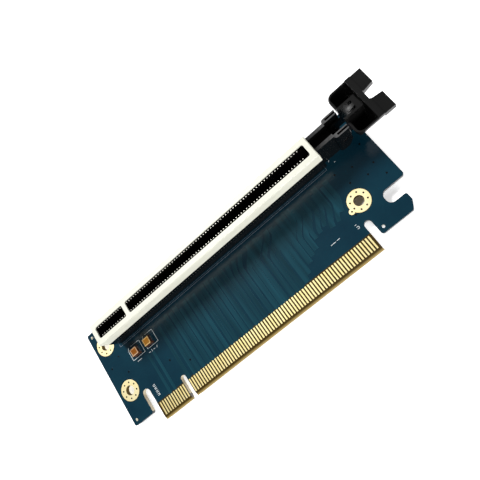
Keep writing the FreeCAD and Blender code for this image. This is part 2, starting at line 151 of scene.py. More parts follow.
# %% Patterns and finishes
NOISE_LOW, NOISE_HIGH = 0.3, 0.7


def finish(name, **surface):
    """A material with one Principled shader, whose fixed values are set on its own sockets."""
    material = bpy.data.materials.new(name)
    material.use_nodes = True
    shader = material.node_tree.nodes["Principled BSDF"]
    for key, value in surface.items():
        join(material.node_tree, value, shader.inputs[key.replace("_", " ").title().replace("Ior", "IOR")])
    return material, material.node_tree, shader


def object_place(tree):
    """Object coordinates in millimetres."""
    place = add(tree, "ShaderNodeTexCoord").outputs["Object"]
    return add(tree, VECTOR, "SCALE", {0: place, "Scale": 1 / MM})


def facing_z(tree):
    """How squarely a face looks up or down: 0 on an upright wall, 1 on a flat."""
    normal = add(tree, "ShaderNodeNewGeometry").outputs["True Normal"]
    height = add(tree, SPLIT, inputs={0: normal}).outputs["Z"]
    return add(tree, MATH, "ABSOLUTE", {0: height})


def mottle(tree, place, size, low=0.0, high=1.0, detail=3.0):
    """Noise with features of a given size in mm, stretched from low to high."""
    noise = add(tree, "ShaderNodeTexNoise", inputs={"Vector": place, "Scale": 1 / size, "Detail": detail})
    return add(tree, RANGE, inputs={0: noise, 1: NOISE_LOW, 2: NOISE_HIGH, 3: low, 4: high})


def cover(tree, shader, tone, relief=None, depth_mm=0.0, rough=None):
    """Join a tone to the shader's colour, a relief of a depth in mm to its normal, and a roughness."""
    join(tree, tone, shader.inputs["Base Color"])
    if rough is not None:
        join(tree, rough, shader.inputs["Roughness"])
    if relief is not None:
        raised = add(tree, "ShaderNodeBump", inputs={"Height": relief, "Distance": depth_mm * MM})
        join(tree, raised, shader.inputs["Normal"])


def speckled(name, low, high, patch_mm, grain_mm=None, depth_mm=0.0, detail=3.0, **surface):
    """A finish whose tone wanders in patches of a size in mm, with a fine grain or none."""
    material, tree, shader = finish(name, **surface)
    place = object_place(tree)
    tone = add(tree, *MIX, {0: mottle(tree, place, patch_mm), 6: low, 7: high})
    relief = mottle(tree, place, grain_mm, detail=detail) if grain_mm else None
    cover(tree, shader, tone, relief, depth_mm)
    return material


print("patterns ready")

# %% [markdown]
# ## The board's finish
# The board is fibreglass laminate under a dark teal solder mask. The mask is a cured lacquer: fairly
# smooth, a little glossy, and slightly uneven in depth where it pooled. The strip of the tongue
# between the gold fingers has no mask, so olive laminate shows. The bevel's saw cut is paler. The
# routed edges are painted nearly black, as painted shade. The key and the slot beside the tongue are
# milled cleanly, so their walls are pale fibreglass. The tooling holes are drilled, and their pale
# fibreglass walls are painted nearly white, as painted light. Where a face points is enough to tell
# an edge from a face, and where it lies is enough to tell the tongue. Lengths here are in mm.

# %% Solder mask on fibreglass laminate
# The lacquer pools in patches some 9 mm across, and dries with a ripple of under a millimetre. The
# glass cloth has a thread every 0.38 mm. A Wave texture draws 20 / 2 pi bands in one unit of scale.
POOL, RIPPLE, THREAD, BANDS = 9.0, 0.7, 0.377, 20 / (2 * math.pi)
LACQUER = {"roughness": 0.19, "ior": 1.52}
BARE_ROUGHNESS = 0.24
FLAT, UPRIGHT = 0.97, 0.2
mask_gap = 0.35
mask_bottom = fingers_high.y / MM + mask_gap
tongue_left, tongue_right, beside_tongue = -12.6, 72.6, 0.3
tongue_strip, bevel_top = 2.0, 0.85
tooling_holes = ((-22.05, 5.9), (-22.05, 37.8), (76.5, 5.1))
tooling_reach = 0.7
milled_left, milled_right, milled_top = -15.52, 0.98, 15.0
board_middle, board_half = -0.8, 0.79


def masked(tree, at, facing):
    """1 where the lacquer lies: the flat faces, above the finger strip or beside the tongue."""
    lies = 0.0
    for test, value, limit in (("GREATER_THAN", at["Y"], mask_bottom),
                               ("LESS_THAN", at["X"], tongue_left - beside_tongue),
                               ("GREATER_THAN", at["X"], tongue_right + beside_tongue)):
        passed = add(tree, MATH, test, {0: value, 1: limit})
        lies = add(tree, MATH, "MAXIMUM", {0: passed, 1: lies})
    flat = add(tree, MATH, "GREATER_THAN", {0: facing, 1: FLAT})
    return add(tree, MATH, "MULTIPLY", {0: flat, 1: lies})


def walls_painted_light_and_shade(tree, place, at):
    """Painted shade, nearly black, on the routed outline; painted light, nearly white, in the tooling
    holes; pale fibreglass on milled walls.
    """
    # Painted shade: the routed outline is painted nearly black.
    tone = "#0C0C08"
    # Painted light: each tooling hole's wall is painted nearly white, paler than its fibreglass.
    for hole_x, hole_y in tooling_holes:
        away = add(tree, VECTOR, "MULTIPLY", {0: place, 1: (1.0, 1.0, 0.0)})
        away = add(tree, VECTOR, "DISTANCE", {0: away, 1: (hole_x, hole_y, 0.0)})
        drilled = add(tree, MATH, "LESS_THAN", {0: away, 1: tooling_reach})
        tone = add(tree, *MIX, {0: drilled, 6: tone, 7: "#F4F1E4"})
    middle, half = (milled_left + milled_right) / 2, (milled_right - milled_left) / 2
    milled = add(tree, MATH, "LESS_THAN", {0: at["Y"], 1: milled_top})
    for value, centre, reach in ((at["X"], middle, half), (at["Z"], board_middle, board_half)):
        within = add(tree, MATH, "COMPARE", {0: value, 1: centre, 2: reach})
        milled = add(tree, MATH, "MULTIPLY", {0: milled, 1: within})
    return add(tree, *MIX, {0: milled, 6: tone, 7: "#C9BCA0"})


board_finish, tree, shader = finish("Solder mask on fibreglass laminate", **LACQUER)
place = object_place(tree)
at = add(tree, SPLIT, inputs={0: place}).outputs
facing = facing_z(tree)
is_masked = masked(tree, at, facing)
lacquer = add(tree, *MIX, {0: mottle(tree, place, POOL), 6: "#012635", 7: "#052E3C"})
weave = add(tree, "ShaderNodeTexWave", {"bands_direction": "Y"},
            {"Vector": place, "Scale": 1 / (THREAD * BANDS), "Distortion": 0.6}).outputs["Fac"]
olive = add(tree, *MIX, {0: weave, 6: "#332500", 7: "#3E2E04"})
on_tongue = add(tree, MATH, "LESS_THAN", {0: at["Y"], 1: tongue_strip})
sawn = add(tree, RANGE, inputs={0: at["Y"], 1: 0.0, 2: bevel_top, 3: 1.0, 4: 0.0})
sawn = add(tree, MATH, "MULTIPLY", {0: sawn, 1: on_tongue})
cut = add(tree, MATH, "LESS_THAN", {0: facing, 1: UPRIGHT})
routed = add(tree, MATH, "SUBTRACT", {0: cut, 1: on_tongue})
bare = add(tree, *MIX, {0: sawn, 6: olive, 7: "#AA935A"})
bare = add(tree, *MIX, {0: routed, 6: bare, 7: walls_painted_light_and_shade(tree, place, at)})
tone = add(tree, *MIX, {0: is_masked, 6: bare, 7: lacquer})
rough = add(tree, RANGE, inputs={0: is_masked, 3: BARE_ROUGHNESS, 4: LACQUER["roughness"]})
cover(tree, shader, tone, mottle(tree, place, RIPPLE), depth_mm=0.012, rough=rough)
print(board_finish.name)

# %% [markdown]
# ## Lacquer over copper, and white ink
# Where a track runs under the mask the lacquer is thinner and the copper warms it, so tracks look a
# shade lighter than the board between them, with faint streaks along them, and it is dull where it
# thins over a track's walls. The ink is screen printed: matt and speckled by the mesh of the screen.
# Along the slot's outline the strokes are narrow, and the ink there is painted darker, as painted
# shade in the slot's shadow. Over a via the mask is dished and wet looking. A small open hole is
# painted nearly black, as painted shade inside it.

# %% Track and ink finishes
TRACK_WALL_ROUGHNESS = 0.75
ALONG_TRACKS = (1.0, 0.06, 1.0)
STREAK, TRACK_RIPPLE = 2.2, 0.5

track_finish, tree, shader = finish("Solder mask over copper track", **LACQUER)
place = object_place(tree)
along = add(tree, VECTOR, "MULTIPLY", {0: place, 1: ALONG_TRACKS})
streaks = add(tree, *MIX, {0: mottle(tree, along, STREAK), 6: "#042934", 7: "#103D4A"})
rough = add(tree, RANGE, inputs={0: facing_z(tree), 3: TRACK_WALL_ROUGHNESS, 4: LACQUER["roughness"]})
cover(tree, shader, streaks, mottle(tree, place, TRACK_RIPPLE), depth_mm=0.008, rough=rough)

ink_finish = speckled("Screen printed epoxy ink", "#B9C4C8", "#E6ECEC", patch_mm=0.25, roughness=0.7)
# Painted shade: a darker copy of the ink, for the outline in the slot's shadow.
shaded_ink_finish = speckled(
    "Epoxy ink darkened by painted shade", "#46525E", "#7C8894", patch_mm=0.5, roughness=0.6)
plug_finish = speckled(
    "Solder mask dished over a via", "#02070B", "#060F14", patch_mm=0.4, roughness=0.16,
    ior=LACQUER["ior"])
# Painted shade: nearly black, darker than bare laminate, for small holes and the gap round each pad.
painted_shade_finish = speckled(
    "Bare laminate painted nearly black as painted shade", "#080702", "#141108", patch_mm=0.4, roughness=0.2)
print(track_finish.name, "/", ink_finish.name)

# %% [markdown]
# ## Gold and tin
# The fingers and rings are electroless gold over nickel: pale, warm and softly mirror-like, with a
# faint brushing from the scrub before plating. Along its two long edges a finger is painted dark, as
# painted shade. The wall of a plated hole sees little light, so it is painted dark as painted shade.
# Contacts are phosphor bronze flashed with tin. Where they stand down in the slot they are painted
# dark as painted shade, so only their tips keep the pale tin, and behind the base's windows they are
# painted darker than the tin, as painted shade in the recess. Joints are reflowed tin, bright but
# slightly grainy. The scrub's scratches are some 0.02 mm wide and wouldn't show, so the relief is
# drawn about ten times coarser.

# %% Metal finishes
TONE_PATCH = 3.0
TIP_FROM, TIP_SOFTNESS = 10.98, 0.15


def plated(name, low, high, roughness, grain_mm, depth_mm, shaded=None, pale_above=None):
    """A metal whose tone wanders between two colours, with painted shade on upright walls or below a
    height in mm.
    """
    material, tree, shader = finish(name, metallic=1.0, roughness=roughness)
    place = object_place(tree)
    tone = add(tree, *MIX, {0: mottle(tree, place, TONE_PATCH), 6: low, 7: high})
    if pale_above is not None:
        height = add(tree, SPLIT, inputs={0: place}).outputs["Z"]
        pale = add(tree, RANGE, inputs={0: height, 1: pale_above - TIP_SOFTNESS, 2: pale_above})
        tone = add(tree, *MIX, {0: pale, 6: shaded, 7: tone})
    elif shaded is not None:
        tone = add(tree, *MIX, {0: facing_z(tree), 6: shaded, 7: tone})
    cover(tree, shader, tone, mottle(tree, place, grain_mm), depth_mm)
    return material


BRONZE = {"roughness": 0.5, "grain_mm": 0.2, "depth_mm": 0.003}
gold_finish = plated(
    "Hard gold plating on fingers", "#FFEBA4", "#FFF1B6", roughness=0.5, grain_mm=0.3, depth_mm=0.004)
# Painted shade: the ring's upright walls are painted dark.
ring_finish = plated(
    "Immersion gold on mounting pads", "#FFEDB4", "#FFF4C8", roughness=0.5, grain_mm=0.25,
    depth_mm=0.004, shaded="#5C4A22")
# Painted shade: the bronze is painted dark below its tips.
bronze_finish = plated(
    "Bronze flashed with tin, with painted shade below the tips", "#C9C7BE", "#DEDCD2", **BRONZE, shaded="#17130C", pale_above=TIP_FROM)
# Painted shade: the bronze in the base's windows is painted darker.
window_finish = plated("Bronze behind a window, with painted shade", "#55524A", "#7A766C", **BRONZE)
solder_finish = plated(
    "Reflowed tin solder", "#B8BCC0", "#D6D9DB", roughness=0.28, grain_mm=0.35, depth_mm=0.015)
print(ring_finish.name, "/", solder_finish.name)

# %% [markdown]
# Every finger is centred halfway between two whole millimetres of X, so what is left of X after its
# whole millimetres tells how far a point lies from the finger's middle.

# %% Painted shade along the fingers' edges
BRIGHT_TO, SHADED_FROM = 0.235, 0.28

tree = gold_finish.node_tree
shader = tree.nodes["Principled BSDF"]
at = add(tree, SPLIT, inputs={0: object_place(tree)}).outputs
across = add(tree, MATH, "WRAP", {0: at["X"], 1: PITCH / MM, 2: 0.0})
across = add(tree, MATH, "SUBTRACT", {0: across, 1: PITCH / MM / 2})
across = add(tree, MATH, "ABSOLUTE", {0: across})
# Painted shade: each finger is painted dark along its two long edges.
thin = add(tree, RANGE, inputs={0: across, 1: BRIGHT_TO, 2: SHADED_FROM})
plating = shader.inputs["Base Color"].links[0].from_socket
cover(tree, shader, add(tree, *MIX, {0: thin, 6: plating, 7: "#2C1F02"}))
print(gold_finish.name)

# %% [markdown]
# ## Plastics
# The slot's pale shell and black base, and the black latch, are injection moulded. Moulded plastic
# has a fine spark-eroded grain copied from the tool, and no colour pattern to speak of, only a
# slight change of tone where it flowed. The capacitors are moulded epoxy, amber and satin. Their
# rims are painted pale as a painted highlight, and their steep sides are painted far darker than
# their tops as painted shade. The tool's grain is some 0.03 mm across, too fine to show here, so it
# is drawn a few times coarser.

# %% Moulded plastic finishes
FLOW_PATCH = 7.0


def moulded(name, low, high, **surface):
    """A moulded plastic with tool grain."""
    return speckled(name, low, high, FLOW_PATCH, detail=5.0, ior=1.5, **surface)


EPOXY = {"roughness": 0.45, "grain_mm": 0.2, "depth_mm": 0.01}
DULL = dict(EPOXY, roughness=0.5)
shell_finish = moulded(
    "Moulded ivory nylon", "#D6D6C8", "#DEDED0", roughness=0.42, grain_mm=0.12, depth_mm=0.006)
base_finish = moulded("Moulded black glass filled nylon", "#050505", "#0A0A0A",
                      roughness=0.22, grain_mm=0.15, depth_mm=0.006)
lever_finish = moulded(
    "Moulded black nylon latch", "#070707", "#0F0F0F", roughness=0.26, grain_mm=0.22, depth_mm=0.006)
amber_finish = moulded("Moulded amber epoxy", "#A85A14", "#C27420", **EPOXY)
gold_amber_finish = moulded("Moulded golden amber epoxy", "#B4721A", "#CC8A28", **EPOXY)
# Painted shade on the capacitors' sides, and a painted highlight on their rims.
side_shade_finish = moulded("Moulded amber epoxy with painted shade on the sides", "#301504", "#4C2607", **DULL)
amber_rim_highlight = moulded("Moulded amber epoxy with a painted highlight at the rim", "#E2B183", "#EEC9A0", **DULL)
golden_rim_highlight = moulded("Moulded golden epoxy with a painted highlight at the rim", "#DDB26A", "#E9C684", **DULL)
print(shell_finish.name, "/", lever_finish.name)

# %% [markdown]
# Where the base runs out past the shell, the tops of its rails and ears are painted grey as a
# painted highlight, more so towards the end.

# %% Painted highlight on the black base's tops
HIGHLIGHT_HEIGHT, HIGHLIGHT_RUN = 11.3, 7.0

tree = base_finish.node_tree
shader = tree.nodes["Principled BSDF"]
place = object_place(tree)
at = add(tree, SPLIT, inputs={0: place}).outputs
shell_end = shell_high.x / MM
# Painted highlight: the base's tops past the shell are painted grey.
rubbed = add(tree, RANGE, inputs={0: at["X"], 1: shell_end, 2: shell_end + HIGHLIGHT_RUN})
top = add(tree, MATH, "GREATER_THAN", {0: at["Z"], 1: HIGHLIGHT_HEIGHT})
for part in (top, mottle(tree, place, size=0.8, low=0.6)):
    rubbed = add(tree, MATH, "MULTIPLY", {0: rubbed, 1: part})
moulded_tone = shader.inputs["Base Color"].links[0].from_socket
cover(tree, shader, add(tree, *MIX, {0: rubbed, 6: moulded_tone, 7: "#5A5A5A"}))
print(base_finish.name)

# %% [markdown]
# ## Giving the solids their finishes
# A solid whose shape is right stays, and only takes a finish. The rings, the fingers, the board, the
# contacts and the capacitors' terminals are like that. The moulded solids take one too, before
# softer copies stand for them. The first words below that a solid's name has in it choose its finish.

# %% Finishes on the solids
FINISHES = {"circuit_board": board_finish, "edge_fingers": gold_finish, "mounting_ring": ring_finish,
            "contacts": bronze_finish, "terminals": solder_finish, "capacitor": amber_finish,
            "slot_base": base_finish, "slot_shell": shell_finish, "latch_lever": lever_finish}
for node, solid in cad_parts.items():
    material = next(FINISHES[words] for words in FINISHES if words in node)
    solid.data.materials.clear()
    solid.data.materials.append(material)
    print(node, "/", material.name)

# %% [markdown]
# ## Softened plastic
# A moulded edge is never sharp: the tool leaves a radius of a tenth of a millimetre or so, and that
# thin line is what catches the light on black plastic. A CAD solid arrives as loose triangles, so a
# copy of it is merged and its flat faces joined, and then a Bevel modifier rounds its corners. A
# Weighted Normal modifier keeps the large faces looking flat up to their rounded edges. The rounded
# copy stands for the solid. A few helpers for meshes and pieces come first.

# %% Mesh helpers
CREASE = 40.0


def mesh_of(name, points, faces):
    """A new mesh from its points and faces."""
    mesh = bpy.data.meshes.new(name)
    mesh.from_pydata(points, [], faces)
    return mesh


def edited(mesh, change):
    """Let a function change a mesh through bmesh, and write the result back."""
    work = bmesh.new()
    work.from_mesh(mesh)
    change(work)
    work.to_mesh(mesh)
    work.free()
    return mesh


def outward(work):
    """Turn every face to look outwards."""
    bmesh.ops.recalc_face_normals(work, faces=work.faces)


def smooth_by_angle(mesh, degrees=CREASE):
    """Shade smooth, with sharp edges where faces meet at more than an angle."""
    limit = math.radians(degrees)

    def shade(work):
        for face in work.faces:
            face.smooth = True
        for edge in work.edges:
            edge.smooth = len(edge.link_faces) == 2 and edge.calc_face_angle(0.0) < limit

    return edited(mesh, shade)


print("mesh helpers ready")

# %% Piece helpers
def linked(name, data):
    """A new object in the scene."""
    made = bpy.data.objects.new(name, data)
    bpy.context.scene.collection.objects.link(made)
    return made


def applied(piece):
    """Give a piece the plain mesh that its modifiers make, and take them off."""
    bpy.context.view_layer.update()
    evaluated = piece.evaluated_get(bpy.context.evaluated_depsgraph_get())
    final = bpy.data.meshes.new_from_object(evaluated)
    final.name = piece.name
    piece.modifiers.clear()
    piece.data = final
    print(piece.name, len(final.polygons), "faces")
    return final


def seat(piece, body):
    """Ride on a body."""
    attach(piece, body)


print("piece helpers ready")

# %% Rounded copies of the moulded solids
MERGE_WITHIN = 1e-6
FLAT_WITHIN, BEVEL_OVER = math.radians(1.0), math.radians(35.0)


def joined(work):
    """Merge loose triangles, then join those that lie flat together."""
    bmesh.ops.remove_doubles(work, verts=work.verts, dist=MERGE_WITHIN)
    bmesh.ops.dissolve_limit(work, angle_limit=FLAT_WITHIN, verts=work.verts, edges=work.edges)


def rounded(node, name, body, width_mm):
    """A copy of a solid, with its finish and rounded edges, which stands for it."""
    piece = linked(name, edited(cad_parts[node].data.copy(), joined))
    soften = piece.modifiers.new("moulded edges", "BEVEL")
    soften.width = width_mm * MM
    soften.segments = 2
    soften.angle_limit = BEVEL_OVER
    smooth_by_angle(applied(piece))
    level = piece.modifiers.new("flat faces stay flat", "WEIGHTED_NORMAL")
    level.weight = 100
    level.keep_sharp = True
    applied(piece)
    seat(piece, body)
    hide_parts(node)


rounded("slot_shell", "ivory_shell", "card", width_mm=0.14)
rounded("slot_base", "black_base", "card", width_mm=0.1)
rounded("latch_lever", "latch", "latch", width_mm=0.2)

# %% [markdown]
# ## The two capacitors
# Each body is pressed in a two-part mould: straight sides up to the parting line, a drafted upper
# half, and a raised rim round a shallow recess on top. The rim's flat top is painted pale as a painted
# highlight, the sides are painted dark as painted shade, and the recess keeps its dark amber. Rounded
# squares stacked from the bottom up make the form: the profile says how far each is inset and how
# high it lies, in mm. Band 4, counted from 0 at the foot, is the rim's flat top.

# %% Moulded capacitor bodies
PROFILE = ((0.06, 0.0), (0.0, 0.06), (0.0, 0.85), (0.1, 1.76), (0.18, 1.8), (0.5, 1.8), (0.56, 1.72))
RIM_BAND = 4
CORNER, CORNER_STEPS = 0.16 * MM, 4


def skin(rings, steps):
    """The faces between stacked rings of points, closed at both ends."""
    faces = []
    for ring in range(rings - 1):
        for k in range(steps):
            a, b = ring * steps + k, ring * steps + (k + 1) % steps
            faces.append((a, b, b + steps, a + steps))
    faces.append(tuple(range(steps))[::-1])
    faces.append(tuple(range((rings - 1) * steps, rings * steps)))
    return faces


def stacked(name, low, high, finishes):
    """Stacked rounded rectangles inside a box, with finishes for the sides, the rim and the recess."""
    points = []
    for inset, rise in PROFILE:
        for quarter, (side_x, side_y) in enumerate(((1, 1), (-1, 1), (-1, -1), (1, -1))):
            x = (low.x + high.x) / 2 + side_x * ((high.x - low.x) / 2 - inset * MM - CORNER)
            y = (low.y + high.y) / 2 + side_y * ((high.y - low.y) / 2 - inset * MM - CORNER)
            for k in range(CORNER_STEPS):
                turn = math.pi / 2 * (quarter + k / (CORNER_STEPS - 1))
                points.append((x + CORNER * math.cos(turn), y + CORNER * math.sin(turn),
                               low.z + rise * MM))
    steps = 4 * CORNER_STEPS
    mesh = mesh_of(name, points, skin(len(PROFILE), steps))
    for material in finishes:
        mesh.materials.append(material)
    for index, polygon in enumerate(mesh.polygons):
        band = index // steps
        polygon.material_index = 0 if band < RIM_BAND else 1 if band == RIM_BAND else 2
    # Of the two end faces, the foot comes first.
    mesh.polygons[-2].material_index = 0
    print(name, len(mesh.polygons), "faces")
    return linked(name, smooth_by_angle(mesh))


# The sides take painted shade and the rim a painted highlight.
for side, rim_highlight_finish, top_finish in (
        ("left", amber_rim_highlight, amber_finish), ("right", golden_rim_highlight, gold_amber_finish)):
    low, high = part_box("capacitor_" + side + "_body")
    body = stacked("capacitor_moulding_" + side, low, high, (side_shade_finish, rim_highlight_finish, top_finish))
    seat(body, "card")
    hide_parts("capacitor_" + side + "_body")

# %% [markdown]
# ## One tree for everything that stands at the contact pitch
# Solder joints, the comb of ribs between contacts and the windows in the base all repeat once per
# contact, with the same jump at the key. Rather than place hundreds of copies by hand, one Geometry
# Nodes tree takes a small shape as its input and sets a copy at each contact. Its named inputs give
# the start, the pitch, the jump, and where along Y the even and the odd ones stand.

# %% The tree that sets a shape at each contact
ON_POINTS = "GeometryNodeInstanceOnPoints"
MOVE = "GeometryNodeSetPosition"


def group(name, counts, measures):
    """A new Geometry Nodes tree with named inputs, and its input node's outputs."""
    tree = bpy.data.node_groups.new(name, "GeometryNodeTree")
    for kind, titles in (("Geometry", ["Geometry"]), ("Int", counts), ("Float", measures),
                         ("Material", ["Finish"])):
        for title in titles:
            tree.interface.new_socket(title, in_out="INPUT", socket_type="NodeSocket" + kind)
    tree.interface.new_socket("Geometry", in_out="OUTPUT", socket_type="NodeSocketGeometry")
    return tree, add(tree, "NodeGroupInput").outputs


def row_of_points(tree, given):
    """Points to be moved, the number of each in the row, and how far along X it belongs."""
    line = add(tree, "GeometryNodeMeshLine", inputs={"Count": given["Count"], "Offset": (0, 0, 0)})
    index = add(tree, "GeometryNodeInputIndex")
    return line, index, add(tree, MATH, "MULTIPLY_ADD", {0: index, 1: given["Pitch"], 2: given["Start"]})


def complete(tree, geometry, given):
    """End a tree: make its copies real, give them their finish, and hand them out."""
    real = add(tree, "GeometryNodeRealizeInstances", inputs={0: geometry})
    done = add(tree, "GeometryNodeSetMaterial", inputs={"Geometry": real, "Material": given["Finish"]})
    add(tree, "NodeGroupOutput", inputs={0: done})
    print("tree:", tree.name, "with", len(tree.nodes), "nodes")
    return tree


def contact_tree():
    """Geometry in, one copy of it at every contact out."""
    tree, given = group("At every contact", ["Count", "Before key"],
                        ["Start", "Pitch", "Key gap", "Even Y", "Odd Y", "Height"])
    line, index, run = row_of_points(tree, given)
    past = add(tree, "FunctionNodeCompare", {"data_type": "INT", "operation": "GREATER_EQUAL"},
               {2: index, 3: given["Before key"]})
    jump = add(tree, MATH, "MULTIPLY_ADD", {0: past, 1: given["Key gap"], 2: run})
    odd = add(tree, MATH, "FLOORED_MODULO", {0: index, 1: 2.0})
    row = add(tree, "ShaderNodeMix", inputs={0: odd, 2: given["Even Y"], 3: given["Odd Y"]})
    spot = add(tree, COMBINE, inputs={0: jump, 1: row, 2: given["Height"]})
    dots = add(tree, MOVE, inputs={"Geometry": line, "Position": spot})
    copies = add(tree, ON_POINTS, inputs={"Points": dots, "Instance": given["Geometry"]})
    return complete(tree, copies, given)


def grown(tree, name, mesh, material, smooth=None, **inputs):
    """Run a tree over a start mesh with named inputs, and keep the result as a plain mesh object."""
    piece = linked(name, mesh)
    modifier = piece.modifiers.new("grow", "NODES")
    modifier.node_group = tree
    wanted = {key.replace("_", " "): value for key, value in dict(inputs, finish=material).items()}
    for item in tree.interface.items_tree:
        if item.in_out == "INPUT" and item.name.lower() in wanted:
            modifier[item.identifier] = wanted[item.name.lower()]
    final = applied(piece)
    if smooth is not None:
        smooth_by_angle(final, smooth)
    return piece


at_contacts = contact_tree()
contact_run = {"count": FINGERS, "before_key": BEFORE_KEY, "start": contact_start, "pitch": PITCH,
               "key_gap": contact_gap}

# %% [markdown]
# ## Solder on the back
# Each tail comes through the board and is held by a cone of solder on a small pad. The cone's side
# is hollow, because molten tin climbs the tail and thins out as it goes. It is a small turned shape:
# a few rings of ten points, from the pad's rim up to the tail, closed at both ends.

# %% Solder joints around the contact tails
JOINT_PROFILE = ((0.62, 0.0), (0.60, -0.05), (0.46, -0.12), (0.36, -0.28), (0.30, -0.5), (0.22, -0.62))
JOINT_STEPS = 10
inner_reach, outer_reach = 1.0 * MM, 3.0 * MM


def turned(profile):
    """A closed shape turned about Z from (radius, z) pairs in mm."""
    points = []
    for radius, z in profile:
        for k in range(JOINT_STEPS):
            turn = 2 * math.pi * (k + 0.5) / JOINT_STEPS
            points.append((radius * math.cos(turn) * MM, radius * math.sin(turn) * MM, z * MM))
    return edited(mesh_of("joint", points, skin(len(profile), JOINT_STEPS)), outward)


for side, sign in SIDES:
    joints = grown(at_contacts, "solder_joints_" + side, turned(JOINT_PROFILE), solder_finish,
                   smooth=50.0, even_y=slot_y + sign * outer_reach, odd_y=slot_y + sign * inner_reach,
                   height=back_z, **contact_run)
    seat(joints, "card")

# %% [markdown]
# ## The comb inside the mouth
# Between the contacts thin ribs keep them apart. They stand against the inner walls of the mouth, one
# in each gap. They take the black base's finish, so their near black is painted shade in the deep mouth.

# %% Ribs between the contacts
RIB_WIDTH, RIB_DEPTH, RIB_HEIGHT = 0.36, 0.45, 4.2
RIB_BELOW_RIM = 1.35
mouth_half = 2.0 * MM


def block(name, size_mm, foot_mm):
    """A small closed block centred on X and Y, which stands on a height."""
    def shape(work):
        bmesh.ops.create_cube(work, size=1.0)
        for vert in work.verts:
            x, y, z = vert.co
            vert.co = Vector((x * size_mm[0], y * size_mm[1], (z + 0.5) * size_mm[2] + foot_mm)) * MM

    return edited(bpy.data.meshes.new(name), shape)


rib_foot = shell_high.z / MM - RIB_BELOW_RIM - RIB_HEIGHT
rib_run = dict(contact_run, start=contact_start + PITCH / 2, count=FINGERS - 1)
for side, sign in SIDES:
    rib = block("rib", (RIB_WIDTH, RIB_DEPTH, RIB_HEIGHT), rib_foot)
    y = slot_y + sign * (mouth_half - RIB_DEPTH * MM / 2)
    # Painted shade: the ribs are nearly black inside the ivory mouth.
    ribs = grown(at_contacts, "comb_ribs_" + side, rib, base_finish,
                 even_y=y, odd_y=y, height=0.0, **rib_run)
    seat(ribs, "card")

# %% [markdown]
# ## Contact tips, and the windows in the base
# Each contact ends in a narrow tinned tip that stands just under the mouth's rim, and the tips show
# as two rows of bright dots. Low on the base's side a row of small windows shows the bends of the
# outer contacts. Sizes are in mm, and so is the height of each foot.

# %% Contact tips and contact bends in the windows
TIP_SIZE, TIP_FOOT = (0.26, 0.2, 0.95), 10.1
BEND_SIZE, BEND_FOOT = (0.3, 0.06, 0.3), 4.6
tip_reach = mouth_half - 0.55 * MM
bend_reach = slot_y - base_low.y
# The bends take bronze with painted shade, and the tips are painted dark below their tops.
for side, sign in SIDES:
    for name, shape, reach, material in (
            ("contact_tips_", block("tip", TIP_SIZE, TIP_FOOT), tip_reach, bronze_finish),
            ("contact_bends_", block("bend", BEND_SIZE, BEND_FOOT), bend_reach, window_finish)):
        y = slot_y + sign * reach
        piece = grown(at_contacts, name + side, shape, material,
                      even_y=y, odd_y=y, height=0.0, **contact_run)
        seat(piece, "card")

# %% [markdown]
# ## Copper tracks
# The gold fingers are joined to the slot's contacts by tracks under the mask. They run two by two,
# so close that the mask fills the hair's gap within a pair, and each pair reads as one broad band
# with a dark gap to the next. The copper stands about a fiftieth of a millimetre proud, so tracks
# are real, thin geometry here. They run straight at the left, jog sideways near the slot in the
# middle, and lower down towards the right, where the board's maker evened out their lengths, and
# there many dive to an inner layer before they reach the fingers. All of that is a rule on where a
# band lies, so one tree draws them all: a line per pair of fingers, bent by the rule, uneven in place
# and width from pair to pair, then given its flat section.
#
# The rule comes first. Each span of X is the From Min and From Max of a Map Range node, over which
# something grows.

# %% The rule on where a point of a band lies
DIVE_SPAN, RAGGED_SPAN, RAGGED = {1: 49 * MM, 2: 62 * MM}, {1: 49 * MM, 2: 54 * MM}, 1.4 * MM
JOG_SPAN, JOG_LENGTH = {1: 30 * MM, 2: 40 * MM}, 6.5 * MM
LESSEN_SPAN, LEAST_JOG = {1: 44 * MM, 2: 70 * MM}, 0.45
BEND_SPAN, BEND_FROM, BEND_TO = {1: 36 * MM, 2: 72 * MM}, 20.8 * MM, 13.2 * MM
NUDGE, BEND_WANDER, END_WANDER, LAYER = 0.24 * MM, 0.9 * MM, 1.1 * MM, 0.004 * MM
NARROWEST, BROADEST = 0.8, 1.16


